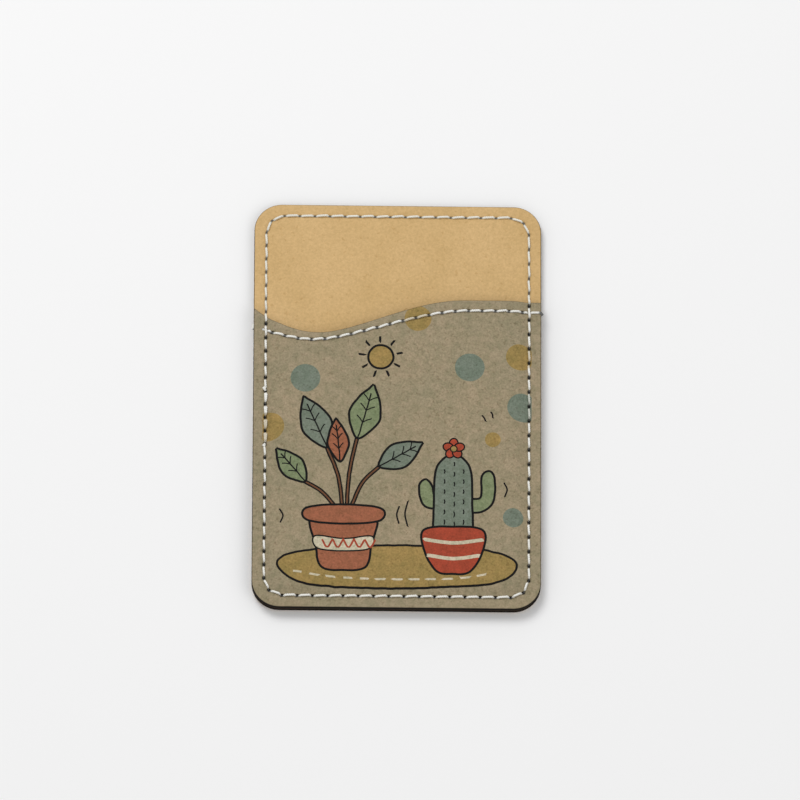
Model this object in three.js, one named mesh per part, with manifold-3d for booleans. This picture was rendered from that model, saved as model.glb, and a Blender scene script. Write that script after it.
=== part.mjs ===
import * as THREE from 'three';
import { mergeVertices } from 'three/addons/utils/BufferGeometryUtils.js';
import Module from 'manifold-3d';

// A card holder of two sewn sheets of leather on a pad of adhesive.
// It lies on its adhesive, with the pocket facing up (+Z) and its mouth towards +Y.
// The origin is the centre of the adhesive's sticky face. All sizes are in millimetres.

// Outline and sheets
const holderWidth = 62;
const holderHeight = 93;
const cornerRadius = 6;
const panelThickness = 1.2;
const pocketThickness = 1.2;
const adhesiveThickness = 0.5;
const adhesiveInset = 3.8;

// Room that the pocket has been shaped to, over one card
const cardRoom = 0.95;
const pouchStart = 0.5;
const riseLength = 0.8;

// Pocket mouth: drops from the top edge, and places from the left edge
const mouthLeftDrop = 24.5;
const mouthDipDrop = 30.3;
const mouthDipPlace = 13.9;
const mouthDipHandle = 8;
const mouthLevelDrop = 22.6;
const mouthLevelPlace = 45.2;
const mouthLevelHandle = 11;

// Seam along the mouth: how far it runs below the edge at the same three places
const mouthSeamLeftInset = 3.9;
const mouthSeamDipInset = 1.7;
const mouthSeamLevelInset = 2.4;
const mouthSeamDipShift = -1;
const mouthSeamLevelShift = 1.3;
const mouthStitch = 2.9;
const mouthFirstHole = 1.5;
const mouthEndInset = 0.15;

// Seam round the holder: its stitches are a little longer on the right, and two turn each corner
const edgeSeamInset = 2.6;
const edgeSeamCorner = 3.9;
const leftStitch = 3.1;
const rightStitch = 3.35;
const endStitch = 3.2;
const crossingStitch = 3.2;
const tieOffHeight = 2.4;

// Threads and the holes that they pass through
const needleThread = 0.52;
const bobbinThread = 0.4;
const holeLength = 1.1;
const tieHoleLength = 1.6;
const holeSlack = 0.08;
const holeEndShare = 0.7;
const stitchSlant = 0.1;
const threadGap = 0.04;
const bobbinGap = 0.08;
const edgeOverhang = 0.3;
const crossingLength = 1.5;
const crossingSlack = 0.1;
const cutterReach = 0.5;

// How finely a seam's line is felt for its direction, its edges and its places
const directionStep = 0.05;
const edgeNudge = 0.01;
const placeHalvings = 40;

// Facets
const cornerFacets = 7;
const pouchCornerFacets = 4;
const pouchFlatColumns = 18;
const pouchRows = 15;
const needleSides = 5;
const bobbinSides = 4;

// Levels of the sheets, from the adhesive's face up
const panelBottom = adhesiveThickness;
const panelTop = panelBottom + panelThickness;
const pocketBottom = panelTop;
const pocketTop = pocketBottom + pocketThickness;

const halfWidth = holderWidth / 2;
const halfHeight = holderHeight / 2;

// Finishes
const tanLeather = new THREE.MeshStandardMaterial({ color: 0xcbab76, roughness: 0.75, metalness: 0 });
const greyLeather = new THREE.MeshStandardMaterial({ color: 0x94886c, roughness: 0.9, metalness: 0 });
const sewingThread = new THREE.MeshStandardMaterial({ color: 0xe9e6dc, roughness: 0.65, metalness: 0 });
const adhesiveFoam = new THREE.MeshStandardMaterial({ color: 0xd8d6cf, roughness: 0.5, metalness: 0 });

const wasm = await Module();
wasm.setup();

// A closed geometry as a solid that can be joined and cut
function solidOf(geometry) {
  const bare = geometry.clone();
  bare.deleteAttribute('normal');
  bare.deleteAttribute('uv');
  const merged = mergeVertices(bare);
  return new wasm.Manifold(new wasm.Mesh({
    numProp: 3,
    vertProperties: merged.attributes.position.array,
    triVerts: new Uint32Array(merged.index.array),
  }));
}

// A solid back as a geometry
function geometryOf(solid) {
  const mesh = solid.getMesh();
  const geometry = new THREE.BufferGeometry();
  geometry.setAttribute('position', new THREE.BufferAttribute(mesh.vertProperties, 3));
  geometry.setIndex(new THREE.BufferAttribute(mesh.triVerts, 1));
  return geometry;
}

// A flat sheet cut to an outline, with its underside at the given height
function sheet(outline, bottom, thickness) {
  const shape = new THREE.Shape(outline);
  const geometry = new THREE.ExtrudeGeometry(shape, { depth: thickness, bevelEnabled: false });
  return geometry.translate(0, 0, bottom);
}

// One corner of the outline at an inset from the edge, turning anticlockwise from a start angle
function cornerArc(signX, signY, startAngle, inset) {
  const radius = cornerRadius - inset;
  const centre = new THREE.Vector2(
    signX * (halfWidth - cornerRadius),
    signY * (halfHeight - cornerRadius),
  );
  const points = [];
  for (let step = 0; step <= cornerFacets; step++) {
    const angle = startAngle + (step / cornerFacets) * (Math.PI / 2);
    points.push(new THREE.Vector2(
      centre.x + radius * Math.cos(angle),
      centre.y + radius * Math.sin(angle),
    ));
  }
  return points;
}

function bottomCorners(inset) {
  return [...cornerArc(-1, -1, Math.PI, inset), ...cornerArc(1, -1, 1.5 * Math.PI, inset)];
}

function roundedOutline(inset) {
  return [...bottomCorners(inset), ...cornerArc(1, 1, 0, inset), ...cornerArc(-1, 1, 0.5 * Math.PI, inset)];
}

// A line across the pocket: a parabola down to its dip, an S up to a level stretch, then straight on
function acrossPocket(left, dip, level) {
  const path = new THREE.Path();
  path.moveTo(-halfWidth, halfHeight - left.drop);
  path.quadraticCurveTo(
    (dip.place - holderWidth) / 2, halfHeight - dip.drop,
    dip.place - halfWidth, halfHeight - dip.drop,
  );
  path.bezierCurveTo(
    dip.place + mouthDipHandle - halfWidth, halfHeight - dip.drop,
    level.place - mouthLevelHandle - halfWidth, halfHeight - level.drop,
    level.place - halfWidth, halfHeight - level.drop,
  );
  path.lineTo(halfWidth, halfHeight - level.drop);
  return path;
}

// A seam's line, measured along its length
class SeamLine {
  constructor(path) {
    this.path = path;
    this.length = path.getLength();
  }

  point(along) {
    return this.path.getPoint(THREE.MathUtils.euclideanModulo(along / this.length, 1));
  }

  direction(along) {
    return this.point(along + directionStep).sub(this.point(along - directionStep)).normalize();
  }

  // Distance along a line that always runs to the right, where it reaches x
  alongAt(x) {
    let low = 0;
    let high = this.length;
    for (let halving = 0; halving < placeHalvings; halving++) {
      const middle = (low + high) / 2;
      if (this.point(middle).x < x) {
        low = middle;
      } else {
        high = middle;
      }
    }
    return low;
  }

  heightAt(x) {
    return this.point(this.alongAt(x)).y;
  }
}

const mouthEdge = new SeamLine(acrossPocket(
  { drop: mouthLeftDrop },
  { drop: mouthDipDrop, place: mouthDipPlace },
  { drop: mouthLevelDrop, place: mouthLevelPlace },
));

const mouthSeam = new SeamLine(acrossPocket(
  { drop: mouthLeftDrop + mouthSeamLeftInset },
  { drop: mouthDipDrop + mouthSeamDipInset, place: mouthDipPlace + mouthSeamDipShift },
  { drop: mouthLevelDrop + mouthSeamLevelInset, place: mouthLevelPlace + mouthSeamLevelShift },
));

// The seam round the holder starts half way up the left side and runs down, anticlockwise
const seamX = halfWidth - edgeSeamInset;
const seamY = halfHeight - edgeSeamInset;
const turnX = seamX - edgeSeamCorner;
const turnY = seamY - edgeSeamCorner;

function edgeSeamPath() {
  const path = new THREE.Path();
  path.moveTo(-seamX, 0);
  path.lineTo(-seamX, -turnY);
  path.absarc(-turnX, -turnY, edgeSeamCorner, Math.PI, 1.5 * Math.PI, false);
  path.lineTo(turnX, -seamY);
  path.absarc(turnX, -turnY, edgeSeamCorner, 1.5 * Math.PI, 2 * Math.PI, false);
  path.lineTo(seamX, turnY);
  path.absarc(turnX, turnY, edgeSeamCorner, 0, 0.5 * Math.PI, false);
  path.lineTo(-turnX, seamY);
  path.absarc(-turnX, turnY, edgeSeamCorner, 0.5 * Math.PI, Math.PI, false);
  path.lineTo(-seamX, 0);
  return path;
}

const edgeSeam = new SeamLine(edgeSeamPath());

// Distances along the seam at which each of its corners starts and ends
const cornerRun = (Math.PI / 2) * edgeSeamCorner;
const bottomLeft = [turnY, turnY + cornerRun];
const bottomRight = bottomLeft.map((along) => along + cornerRun + 2 * turnX);
const topRight = bottomRight.map((along) => along + cornerRun + 2 * turnY);
const topLeft = topRight.map((along) => along + cornerRun + 2 * turnX);

function alongLeftSide(y) {
  return -y;
}

function alongRightSide(y) {
  return bottomRight[1] + turnY + y;
}

// Even places from start to end, both included, as near the wanted pitch as fits
function evenPlaces(start, end, pitch) {
  const count = Math.max(1, Math.round((end - start) / pitch));
  const places = [];
  for (let index = 0; index <= count; index++) {
    places.push(start + ((end - start) * index) / count);
  }
  return places;
}

// Holes from a start through the end of each run, every run divided into even stitches
function holesAlong(start, runs) {
  const holes = [start];
  for (const [end, pitch] of runs) {
    holes.push(...evenPlaces(holes[holes.length - 1], end, pitch).slice(1));
  }
  return holes;
}

// Where the seam round the holder passes the mouth's seam and the mouth's edge
const leftCrossing = alongLeftSide(mouthSeam.heightAt(-seamX));
const rightCrossing = alongRightSide(mouthSeam.heightAt(seamX));
const pocketFrom = alongLeftSide(mouthEdge.heightAt(-seamX));
const pocketTo = alongRightSide(mouthEdge.heightAt(seamX));

// A stitch of the seam round the holder lies half each side of both crossings
const crossingReach = crossingStitch / 2;

const pocketStops = holesAlong(leftCrossing - crossingReach, [
  [leftCrossing + crossingReach, crossingStitch],
  [bottomLeft[0], leftStitch],
  [bottomLeft[1], endStitch],
  [bottomRight[0], endStitch],
  [bottomRight[1], endStitch],
  [rightCrossing - crossingReach, rightStitch],
  [rightCrossing + crossingReach, crossingStitch],
]);

const panelStops = holesAlong(rightCrossing + crossingReach, [
  [topRight[0], rightStitch],
  [topRight[1], endStitch],
  [topLeft[0], endStitch],
  [topLeft[1], endStitch],
  [leftCrossing - crossingReach + edgeSeam.length, leftStitch],
]).slice(1, -1);

const edgeStops = [...pocketStops, ...panelStops];

function coveredByPocket(along) {
  const place = THREE.MathUtils.euclideanModulo(along - pocketFrom, edgeSeam.length);
  return place < pocketTo - pocketFrom;
}

// The hole where the thread starts and ends, on the left side
const tieOffAlong = alongLeftSide(tieOffHeight);
const tieOffIndex = edgeStops.reduce((best, stop, index) => (
  Math.abs(stop - tieOffAlong) < Math.abs(edgeStops[best] - tieOffAlong) ? index : best
), 0);

// The four corners of an awl hole that lies along its seam
const holeWidth = needleThread + 2 * holeSlack;

function holeOutline(seam, along, length) {
  const centre = seam.point(along);
  const forward = seam.direction(along).multiplyScalar(length / 2);
  const side = new THREE.Vector2(-forward.y, forward.x).setLength(holeWidth / 2);
  return [
    centre.clone().sub(forward).sub(side),
    centre.clone().add(forward).sub(side),
    centre.clone().add(forward).add(side),
    centre.clone().sub(forward).add(side),
  ];
}

// A block that cuts a slot along a seam, between two heights
function slotCutter(seam, along, length, bottom, top) {
  return solidOf(sheet(holeOutline(seam, along, length), bottom, top - bottom));
}

// A sheet pierced by the seam round the holder, at as many of its holes as the sheet has
function piercedByEdgeSeam(solid, stops, bottom, top) {
  return stops.reduce((pierced, stop, index) => {
    const length = index === tieOffIndex ? tieHoleLength : holeLength;
    return pierced.subtract(slotCutter(edgeSeam, stop, length, bottom - cutterReach, top + cutterReach));
  }, solid);
}

// Pouch: the part of the pocket inside its seam, raised over the room for a card
const pouchInset = edgeSeamInset + pouchStart;
const pouchRight = halfWidth - pouchInset;
const pouchBottom = -halfHeight + pouchInset;
const pouchCorner = edgeSeamCorner - pouchStart;

// Columns lie closer over each corner, where the outline turns
function pouchColumns() {
  const turns = [];
  for (let step = 0; step < pouchCornerFacets; step++) {
    const angle = (step / pouchCornerFacets) * (Math.PI / 2);
    turns.push(pouchCorner * (1 - Math.cos(angle)));
  }
  const flatRight = pouchRight - pouchCorner;
  const columns = turns.map((turn) => turn - pouchRight);
  for (let step = 0; step <= pouchFlatColumns; step++) {
    columns.push(flatRight * ((2 * step) / pouchFlatColumns - 1));
  }
  return [...columns, ...turns.reverse().map((turn) => pouchRight - turn)];
}

const columns = pouchColumns();

function pouchFloor(x) {
  const turn = Math.max(Math.abs(x) - (pouchRight - pouchCorner), 0);
  return pouchBottom + pouchCorner - Math.sqrt(Math.max(pouchCorner ** 2 - turn ** 2, 0));
}

// Rows lie closer near the bottom seam, where the leather rises
function pouchPoint(column, row) {
  const x = columns[column];
  const low = pouchFloor(x);
  const share = (row / pouchRows) ** 2;
  return new THREE.Vector2(x, low + (mouthEdge.heightAt(x) - low) * share);
}

// How far the leather stands off the panel at a place inside the seam
function pouchRise(x, y) {
  const across = Math.abs(x) - (pouchRight - pouchCorner);
  const down = pouchBottom + pouchCorner - y;
  const outside = Math.hypot(Math.max(across, 0), Math.max(down, 0));
  const inward = Math.max(pouchCorner - outside - Math.min(Math.max(across, down), 0), 0);
  const run = inward / riseLength;
  return cardRoom * (1 - (1 + run) * Math.exp(-run));
}

// The pouch's edge, column and row, once round anticlockwise from its left mouth corner
function pouchRim() {
  const last = columns.length - 1;
  const rows = Array.from({ length: pouchRows }, (unused, row) => row);
  const inner = columns.map((x, column) => column).slice(0, -1);
  return [
    ...rows.map((row) => [0, pouchRows - row]),
    ...inner.map((column) => [column, 0]),
    ...rows.map((row) => [last, row]),
    ...inner.map((column) => [last - column, pouchRows]),
  ];
}

function pouchGeometry() {
  const positions = [];
  const faces = [];
  const rowPoints = pouchRows + 1;
  const underside = columns.length * rowPoints;
  for (const base of [pocketTop, pocketBottom]) {
    for (let column = 0; column < columns.length; column++) {
      for (let row = 0; row < rowPoints; row++) {
        const { x, y } = pouchPoint(column, row);
        positions.push(x, y, base + pouchRise(x, y));
      }
    }
  }
  const vertex = (column, row) => column * rowPoints + row;
  for (let column = 0; column < columns.length - 1; column++) {
    for (let row = 0; row < pouchRows; row++) {
      const a = vertex(column, row);
      const b = vertex(column + 1, row);
      const c = vertex(column + 1, row + 1);
      const d = vertex(column, row + 1);
      faces.push(a, b, c, a, c, d);
      faces.push(underside + a, underside + c, underside + b, underside + a, underside + d, underside + c);
    }
  }
  const loop = pouchRim().map(([column, row]) => vertex(column, row));
  loop.forEach((from, index) => {
    const to = loop[(index + 1) % loop.length];
    faces.push(from, underside + from, underside + to, from, underside + to, to);
  });
  const geometry = new THREE.BufferGeometry();
  geometry.setAttribute('position', new THREE.Float32BufferAttribute(positions, 3));
  geometry.setIndex(faces);
  return geometry;
}

// Flange: the flat border of the pocket, which is sewn down
function flangeGeometry() {
  const outer = [
    new THREE.Vector2(-halfWidth, mouthEdge.heightAt(-halfWidth)),
    ...bottomCorners(0),
    new THREE.Vector2(halfWidth, mouthEdge.heightAt(halfWidth)),
  ];
  const last = columns.length - 1;
  const turns = Array.from({ length: pouchCornerFacets + 1 }, (unused, column) => column);
  const inner = [
    pouchPoint(last, pouchRows),
    ...turns.map((column) => pouchPoint(last - column, 0)),
    ...turns.reverse().map((column) => pouchPoint(column, 0)),
    pouchPoint(0, pouchRows),
  ];
  return sheet([...outer, ...inner], pocketBottom, pocketThickness);
}

// Places along the mouth's seam
const mouthCrossings = [mouthSeam.alongAt(-seamX), mouthSeam.alongAt(seamX)];
const mouthStops = evenPlaces(
  mouthCrossings[0] + mouthFirstHole,
  mouthCrossings[1] - mouthFirstHole,
  mouthStitch,
);

function pocketRise(point) {
  return pouchRise(point.x, point.y);
}

// A thread's route through listed points, one step of the sweep for each
class ThreadRoute extends THREE.Curve {
  constructor(points) {
    super();
    this.points = points;
  }

  getPoint(share, target = new THREE.Vector3()) {
    const place = share * (this.points.length - 1);
    const index = Math.min(Math.floor(place), this.points.length - 2);
    return target.lerpVectors(this.points[index], this.points[index + 1], place - index);
  }

  getUtoTmapping(share) {
    return share;
  }
}

function threadGeometry(points, thickness, sides) {
  const section = [];
  for (let side = 0; side < sides; side++) {
    const angle = ((side + 0.5) / sides) * 2 * Math.PI;
    section.push(new THREE.Vector2(Math.cos(angle), Math.sin(angle)).multiplyScalar(thickness / 2));
  }
  return new THREE.ExtrudeGeometry(new THREE.Shape(section), {
    steps: points.length - 1,
    extrudePath: new ThreadRoute(points),
    bevelEnabled: false,
  });
}

// A point of a route, beside its seam by a small sideways step
function routePoint(seam, along, sideways, height) {
  const place = seam.point(along);
  const side = seam.direction(along);
  return new THREE.Vector3(place.x - side.y * sideways, place.y + side.x * sideways, height);
}

// Route of one of the two threads round the holder. It lies on its bed between the holes and
// meets the other thread in each. Where a stitch leaves the pocket it runs just past the edge.
function edgeRoute(turn, bedHeight, lockHeight) {
  const tieTurn = tieHoleLength / 2 - holeLength / 2 + turn;
  const tieStrand = tieTurn / 2;
  const order = edgeStops.map((stop, index) => edgeStops[(tieOffIndex + index) % edgeStops.length]);
  const start = order[0];
  const unwound = order.map((stop) => (stop < start ? stop + edgeSeam.length : stop));
  const end = start + edgeSeam.length;
  const passes = [pocketFrom, pocketTo].map((pass) => (
    pass < start ? pass + edgeSeam.length : pass
  ));
  const overhang = [-edgeOverhang, edgeOverhang];
  const stops = [...unwound, end];
  const points = [];
  stops.forEach((stop, index) => {
    const first = index === 0;
    const last = index === stops.length - 1;
    const reach = first || last ? tieTurn : turn;
    if (!first) {
      points.push(routePoint(edgeSeam, stop - reach, stitchSlant, bedHeight(stop - reach)));
    }
    const strand = stop + (first ? tieStrand : 0) - (last ? tieStrand : 0);
    points.push(routePoint(edgeSeam, strand, 0, lockHeight(stop)));
    if (last) {
      return;
    }
    points.push(routePoint(edgeSeam, stop + reach, -stitchSlant, bedHeight(stop + reach)));
    passes.forEach((pass, side) => {
      const over = pass + overhang[side];
      const onPocket = pass - edgeNudge * Math.sign(overhang[side]);
      if (over > stop + reach && over < stops[index + 1] - turn) {
        points.push(routePoint(edgeSeam, over, 0, bedHeight(onPocket)));
      }
    });
  });
  return points;
}

const needleRadius = needleThread / 2;
const bobbinRadius = bobbinThread / 2;
const needleTurn = holeLength / 2 - holeEndShare * needleRadius;
const bobbinTurn = holeLength / 2 - holeEndShare * bobbinRadius;
const panelMiddle = (panelBottom + panelTop) / 2;

function edgeLock(along) {
  return coveredByPocket(along) ? pocketBottom : panelMiddle;
}

function edgeNeedleRoute() {
  const bed = (along) => (coveredByPocket(along) ? pocketTop : panelTop) + needleRadius + threadGap;
  return edgeRoute(needleTurn, bed, (along) => edgeLock(along) + needleRadius + threadGap);
}

function edgeBobbinRoute() {
  const bed = () => panelBottom - bobbinRadius - threadGap;
  return edgeRoute(bobbinTurn, bed, (along) => edgeLock(along) - bobbinRadius - threadGap);
}

// Height of the middle of the pocket leather at a place along the mouth's seam
function mouthLeatherMiddle(along) {
  return (pocketBottom + pocketTop) / 2 + pocketRise(mouthSeam.point(along));
}

function mouthNeedleBed(along) {
  return pocketTop + pocketRise(mouthSeam.point(along)) + needleRadius + threadGap;
}

function mouthBobbinBed(along) {
  const under = pocketBottom + pocketRise(mouthSeam.point(along)) - bobbinRadius - bobbinGap;
  return Math.max(under, panelTop + bobbinRadius + threadGap);
}

// Depth of the dent where the mouth's seam passes under the seam round the holder
const crossingDepth = needleThread + 2 * threadGap;

// The lower thread lies in a groove in the border, from the side edge to where the leather has risen
const grooveRun = pouchInset + 2 * riseLength;

// Route of one of the two threads along the mouth, from one side edge to the other
function mouthRoute(turn, bedHeight, lockHeight, crossingHeight) {
  const crossingTurn = crossingLength / 2 - crossingSlack;
  const crossings = mouthCrossings.map((along) => (
    { along, reach: crossingTurn, height: crossingHeight(along) }
  ));
  const holes = mouthStops.map((along) => ({ along, reach: turn, height: lockHeight(along) }));
  const knots = [...crossings, ...holes].sort((a, b) => a.along - b.along);
  const start = mouthEndInset;
  const end = mouthSeam.length - mouthEndInset;
  const points = [routePoint(mouthSeam, start, 0, bedHeight(start))];
  knots.forEach(({ along, reach, height }, index) => {
    const next = index + 1 < knots.length ? knots[index + 1].along : end;
    points.push(routePoint(mouthSeam, along - reach, stitchSlant, bedHeight(along - reach)));
    points.push(routePoint(mouthSeam, along, 0, height));
    points.push(routePoint(mouthSeam, along + reach, -stitchSlant, bedHeight(along + reach)));
    if (index > 0 && index < knots.length - 1) {
      points.push(routePoint(mouthSeam, (along + next) / 2, 0, bedHeight((along + next) / 2)));
    }
  });
  points.push(routePoint(mouthSeam, end, 0, bedHeight(end)));
  return points;
}

function mouthNeedleRoute() {
  return mouthRoute(
    needleTurn,
    mouthNeedleBed,
    (along) => mouthLeatherMiddle(along) + needleRadius + threadGap,
    () => pocketTop - needleRadius - threadGap,
  );
}

function mouthBobbinRoute() {
  return mouthRoute(
    bobbinTurn,
    mouthBobbinBed,
    (along) => mouthLeatherMiddle(along) - bobbinRadius - threadGap,
    mouthBobbinBed,
  );
}

function adhesiveSheet() {
  return sheet(roundedOutline(adhesiveInset), 0, adhesiveThickness);
}

function backPanel() {
  const blank = solidOf(sheet(roundedOutline(0), panelBottom, panelThickness));
  return geometryOf(piercedByEdgeSeam(blank, edgeStops, panelBottom, panelTop));
}

function frontPocket() {
  const below = pocketBottom - cutterReach;
  const above = pocketTop + cardRoom + cutterReach;
  const blank = solidOf(flangeGeometry()).add(solidOf(pouchGeometry()));
  let pocket = piercedByEdgeSeam(blank, pocketStops, pocketBottom, pocketTop);
  for (const stop of mouthStops) {
    pocket = pocket.subtract(slotCutter(mouthSeam, stop, holeLength, below, above));
  }
  for (const crossing of mouthCrossings) {
    const dentFloor = pocketTop - crossingDepth;
    pocket = pocket.subtract(slotCutter(mouthSeam, crossing, crossingLength, dentFloor, above));
  }
  const grooveMiddle = (grooveRun - cutterReach) / 2;
  for (const middle of [grooveMiddle, mouthSeam.length - grooveMiddle]) {
    const grooveTop = pocketBottom + bobbinThread + 2 * threadGap;
    const grooveLength = grooveRun + cutterReach;
    pocket = pocket.subtract(slotCutter(mouthSeam, middle, grooveLength, below, grooveTop));
  }
  return geometryOf(pocket);
}

function needleStrand(route) {
  return threadGeometry(route, needleThread, needleSides);
}

function bobbinStrand(route) {
  return threadGeometry(route, bobbinThread, bobbinSides);
}

const pieces = [
  ['adhesive_sheet', adhesiveSheet(), adhesiveFoam],
  ['back_panel', backPanel(), tanLeather],
  ['front_pocket', frontPocket(), greyLeather],
  ['edge_seam_needle_thread', needleStrand(edgeNeedleRoute()), sewingThread],
  ['edge_seam_bobbin_thread', bobbinStrand(edgeBobbinRoute()), sewingThread],
  ['mouth_seam_needle_thread', needleStrand(mouthNeedleRoute()), sewingThread],
  ['mouth_seam_bobbin_thread', bobbinStrand(mouthBobbinRoute()), sewingThread],
];

const group = new THREE.Group();
for (const [name, geometry, material] of pieces) {
  const mesh = new THREE.Mesh(geometry, material);
  mesh.name = name;
  group.add(mesh);
}

export default group;
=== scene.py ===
import math
import random

import bpy
import numpy as np
from mathutils import Matrix, Vector
from mathutils.geometry import delaunay_2d_cdt


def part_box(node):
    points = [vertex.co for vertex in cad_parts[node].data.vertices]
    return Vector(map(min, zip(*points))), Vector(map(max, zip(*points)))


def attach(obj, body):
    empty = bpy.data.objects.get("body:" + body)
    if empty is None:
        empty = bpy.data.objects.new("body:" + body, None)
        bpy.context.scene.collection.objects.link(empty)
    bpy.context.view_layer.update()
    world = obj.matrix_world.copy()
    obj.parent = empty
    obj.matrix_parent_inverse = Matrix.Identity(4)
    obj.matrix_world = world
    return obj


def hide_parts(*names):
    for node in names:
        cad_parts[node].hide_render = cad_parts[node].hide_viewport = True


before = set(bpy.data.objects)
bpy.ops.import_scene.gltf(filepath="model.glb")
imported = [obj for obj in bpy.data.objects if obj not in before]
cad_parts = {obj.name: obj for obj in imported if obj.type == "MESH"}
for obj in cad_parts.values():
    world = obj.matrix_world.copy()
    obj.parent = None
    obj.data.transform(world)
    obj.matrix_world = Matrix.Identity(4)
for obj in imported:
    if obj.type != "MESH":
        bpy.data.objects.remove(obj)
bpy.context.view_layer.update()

# A stick-on card holder: two sheets of leather, their seams and a pad of adhesive.
# Shapes are worked out in millimetres in the frame's own axes and scaled as each mesh is made.
MM = 0.001


def box_of(node):
    return np.array([list(corner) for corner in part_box(node)]) / MM


# Sizes that the object's boxes give
PANEL_LOW, PANEL_HIGH = box_of("back_panel")
POCKET_LOW, POCKET_HIGH = box_of("front_pocket")
ADHESIVE_LOW, ADHESIVE_HIGH = box_of("adhesive_sheet")
HALF_WIDTH = PANEL_HIGH[0]
HALF_HEIGHT = PANEL_HIGH[1]
PANEL_BOTTOM = PANEL_LOW[2]
PANEL_TOP = PANEL_HIGH[2]
POCKET_BOTTOM = POCKET_LOW[2]

# Sizes of the holder that its boxes don't give
CORNER_RADIUS = 6.0
POCKET_THICKNESS = 1.2
RISE_LENGTH = 0.8
SEAM_INSET = 2.6
SEAM_CORNER = 3.9
POUCH_START = 0.5
POCKET_TOP = POCKET_BOTTOM + POCKET_THICKNESS
CARD_ROOM = POCKET_HIGH[2] - POCKET_TOP
PANEL_MIDDLE = (PANEL_BOTTOM + PANEL_TOP) / 2

# The mouth's edge and its seam: (drop from the top edge, place from the left edge)
MOUTH_EDGE = {"left": 24.5, "dip": (30.3, 13.9), "level": (22.6, 45.2)}
MOUTH_SEAM = {"left": 28.4, "dip": (32.0, 12.9), "level": (25.0, 46.5)}
DIP_HANDLE = 8.0
LEVEL_HANDLE = 11.0

# Stitches
LEFT_STITCH = 3.1
RIGHT_STITCH = 3.35
END_STITCH = 3.2
CROSSING_STITCH = 3.2
MOUTH_STITCH = 2.9
MOUTH_FIRST_HOLE = 1.5
FIRST_HOLE_HEIGHT = 2.4
OVERSEWN_STITCHES = 4
HOLE_LENGTH = 0.8
HOLE_WIDTH = 0.56
CLOSED_HOLE = 0.5
NEEDLE_THREAD = 0.52
BOBBIN_THREAD = 0.4
CROSSING_LENGTH = 1.5
CROSSING_DEPTH = 0.55
LEFT_TAIL_HOLE = 1.75
STITCH_SLANT = 0.1

# Leather edges
EDGE_ROUND = 0.16
HOLE_ROUND = 0.06

# View of the photograph, fitted to the holder's outline
VIEW_TILT = math.radians(20.76)
VIEW_AZIMUTH = math.radians(-2.55)
VIEW_ROLL = math.radians(3.0)
VIEW_DISTANCE = 3.0
PIXELS_PER_MM = 4.641
IMAGE_SIZE = 800
ORIGIN_PIXEL = (396.9, 409.4)
SENSOR = 36.0

# Colours, as they are seen (sRGB)
GREY_BEIGE = (150, 137, 111)
TAN = (205, 171, 116)
# Cut edges: the burnt leather's own dark brown, made darker still as painted shade for the shadow under
# the edges and in the holes
CUT_EDGE_AND_SHADE = (27, 23, 21)
THREAD_WHITE = (240, 239, 230)
ADHESIVE_WHITE = (226, 224, 218)
INK_BLACK = (5, 4, 4)
INK_TEAL = (111, 121, 107)
INK_MUSTARD = (150, 126, 74)
INK_TERRACOTTA = (150, 92, 66)
INK_RED = (158, 66, 44)
INK_BROWN = (104, 68, 44)
INK_CREAM = (196, 186, 162)
INK_LEAF = (122, 132, 98)

TINY = 1e-9

rng = random.Random(7)
noise_rng = np.random.default_rng(11)


def linear(rgb):
    """An sRGB colour of 0 to 255 as linear values."""
    values = np.array(rgb, float) / 255
    return np.where(values <= 0.04045, values / 12.92, ((values + 0.055) / 1.055) ** 2.4)


def opaque(rgb):
    return np.append(linear(rgb), 1.0)


def smooth(value, low, high):
    """0 below low, 1 above high and an S between."""
    share = np.clip((np.asarray(value, float) - low) / (high - low), 0, 1)
    return share * share * (3 - 2 * share)


def unit(ways):
    """Vectors in rows, each scaled to a length of 1."""
    return ways / np.maximum(np.linalg.norm(ways, axis=-1, keepdims=True), TINY)


def leftward(ways):
    """Vectors in the plane, in rows, each turned a quarter to the left."""
    return np.stack([-ways[..., 1], ways[..., 0]], axis=-1)


def placed(name, data):
    """A new object in the scene."""
    item = bpy.data.objects.new(name, data)
    bpy.context.scene.collection.objects.link(item)
    return item


# Camera

def look():
    """The camera at the photograph's angle, distance and framing."""
    tilt, turn, roll = VIEW_TILT, VIEW_AZIMUTH, VIEW_ROLL
    back = Vector((math.sin(turn) * math.sin(tilt), -math.cos(turn) * math.sin(tilt), math.cos(tilt)))
    across = Vector((math.cos(turn), math.sin(turn), 0))
    upward = back.cross(across)
    right = math.cos(roll) * across + math.sin(roll) * upward
    up = -math.sin(roll) * across + math.cos(roll) * upward
    data = bpy.data.cameras.new("camera")
    data.sensor_width = SENSOR
    data.lens = SENSOR * (VIEW_DISTANCE / MM) * PIXELS_PER_MM / IMAGE_SIZE
    data.shift_x = (IMAGE_SIZE / 2 - ORIGIN_PIXEL[0]) / IMAGE_SIZE
    data.shift_y = (ORIGIN_PIXEL[1] - IMAGE_SIZE / 2) / IMAGE_SIZE
    camera = placed("camera", data)
    axes = Matrix((right, up, back)).transposed().to_4x4()
    camera.matrix_world = Matrix.Translation(back * VIEW_DISTANCE) @ axes
    bpy.context.scene.camera = camera


# Lines on the leather

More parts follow.
